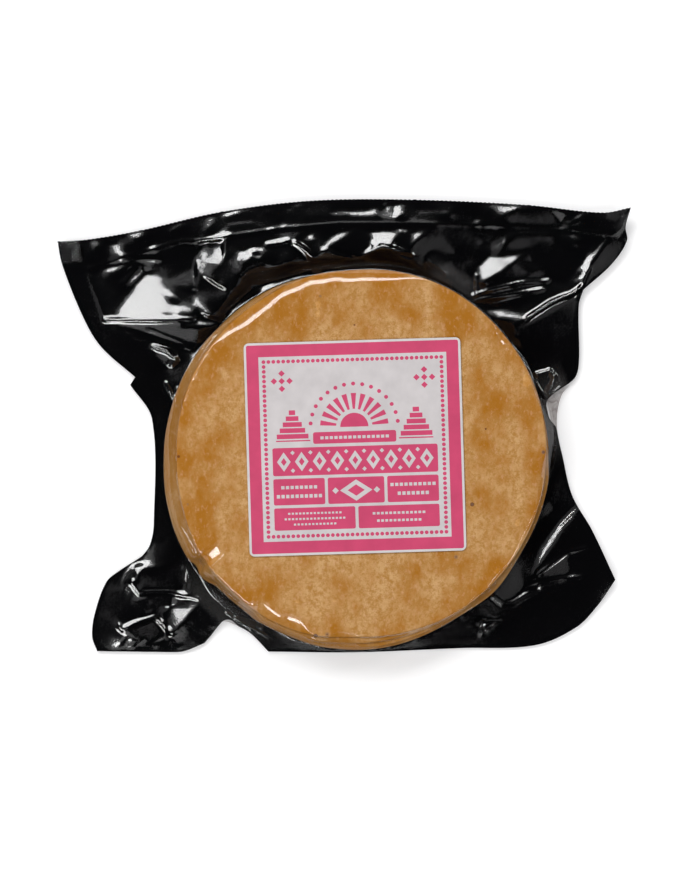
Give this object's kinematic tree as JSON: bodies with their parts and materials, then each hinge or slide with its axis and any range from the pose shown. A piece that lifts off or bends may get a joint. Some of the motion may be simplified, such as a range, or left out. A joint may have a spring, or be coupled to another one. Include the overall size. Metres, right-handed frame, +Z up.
{
  "type": "vacuum-sealed pack of corn tortillas",
  "caption": "Round stack of corn tortillas vacuum-sealed in a flat pouch, clear film over black film, with a crumpled flange and a square pink and white label.",
  "frame": {"origin": "on the table under the middle of the pack's outline", "axes": "+X along the pouch's open end, to the right as the label is read; +Y towards that end, up the label; +Z up, out of the label's face"},
  "size_m": [0.2356, 0.187, 0.0286],
  "materials": {
    "film": "clear glossy film drawn tight over pale yellow-tan tortillas, black glossy film behind",
    "label": "satin paper sticker, white with pink fields",
    "film_clear": "clear glossy film, finely embossed along the side welds",
    "film_black": "black glossy film, crumpled",
    "tortilla": "soft baked corn dough, pale tan with deeper yellow patches and small brown specks"
  },
  "bodies": {
    "root": {"pouch": "film", "label": "label"}
  },
  "joints": []
}
